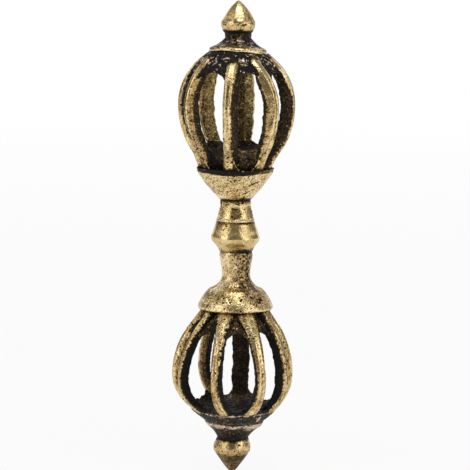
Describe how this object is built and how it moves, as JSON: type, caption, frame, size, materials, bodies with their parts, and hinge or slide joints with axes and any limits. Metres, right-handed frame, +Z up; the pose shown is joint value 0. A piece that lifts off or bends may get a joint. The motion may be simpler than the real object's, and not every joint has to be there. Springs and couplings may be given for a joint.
{
  "type": "vajra",
  "caption": "Small double-ended ritual sceptre in cast brass: a closed cage of curved ribs on each end of a short turned handle, with a pointed finial at both tips.",
  "frame": {"origin": "on the handle's axis, at the widest ring of the bead, where a hand holds it", "axes": "+Z up the handle towards the faceted finial; -Y is the side that the picture shows, +X to its right"},
  "size_m": [0.0194, 0.0192, 0.075],
  "materials": {
    "polished_brass": "rubbed bright on its ridges, dark in its pits",
    "rib_brass": "rubbed bright outer face, blackened flanks and backs",
    "cast_brass": "rough as cast, with dark antique patina in the pits",
    "blackened_brass": "matt black patina over rough casting"
  },
  "bodies": {
    "root": {"upper_finial": "polished_brass", "upper_cap": "cast_brass", "upper_crown": "blackened_brass", "upper_rib_1": "rib_brass", "upper_rib_2": "rib_brass", "upper_rib_3": "rib_brass", "upper_rib_4": "rib_brass", "upper_rib_5": "rib_brass", "upper_rib_6": "rib_brass", "upper_rib_7": "rib_brass", "upper_rib_8": "rib_brass", "upper_root_hub": "blackened_brass", "upper_cup": "cast_brass", "handle_collar": "cast_brass", "handle_bead": "polished_brass", "lower_cup": "cast_brass", "lower_root_hub": "blackened_brass", "lower_rib_1": "rib_brass", "lower_rib_2": "rib_brass", "lower_rib_3": "rib_brass", "lower_rib_4": "rib_brass", "lower_rib_5": "rib_brass", "lower_rib_6": "rib_brass", "lower_rib_7": "rib_brass", "lower_rib_8": "rib_brass", "lower_crown": "blackened_brass", "lower_cap": "cast_brass", "lower_finial": "polished_brass"}
  },
  "joints": []
}
